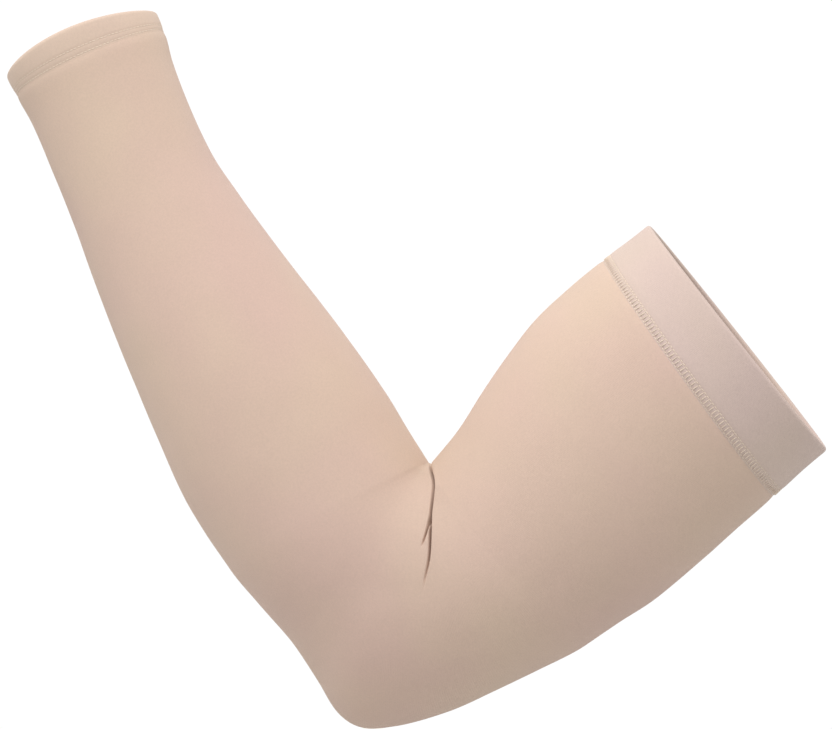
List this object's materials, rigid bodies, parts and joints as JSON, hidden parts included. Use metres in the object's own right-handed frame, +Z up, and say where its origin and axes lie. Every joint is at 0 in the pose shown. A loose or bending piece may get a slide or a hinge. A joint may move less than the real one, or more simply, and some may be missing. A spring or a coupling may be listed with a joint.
{
  "type": "arm sleeve",
  "caption": "Stretch-knit arm sleeve in the form of an arm bent at the elbow, open at both ends, with a narrow wrist hem and a wide upper-arm band.",
  "frame": {"origin": "centre of the upper-arm opening, where the sleeve grips the arm", "axes": "the arm bends in the XZ plane: +X is from the wrist towards the upper-arm opening, +Z is up with the elbow lowest, and Y runs across the sleeve"},
  "size_m": [0.3094, 0.0906, 0.2703],
  "materials": {
    "tube_cloth": "smooth matt stretch knit, beige with a pinkish cast",
    "wrist_hem_cloth": "the same stretch knit, turned double",
    "upper_band_cloth": "the same stretch knit, turned double, slightly greyer"
  },
  "bodies": {
    "root": {"sleeve_tube": "tube_cloth", "wrist_hem": "wrist_hem_cloth", "upper_arm_band": "upper_band_cloth"}
  },
  "joints": []
}
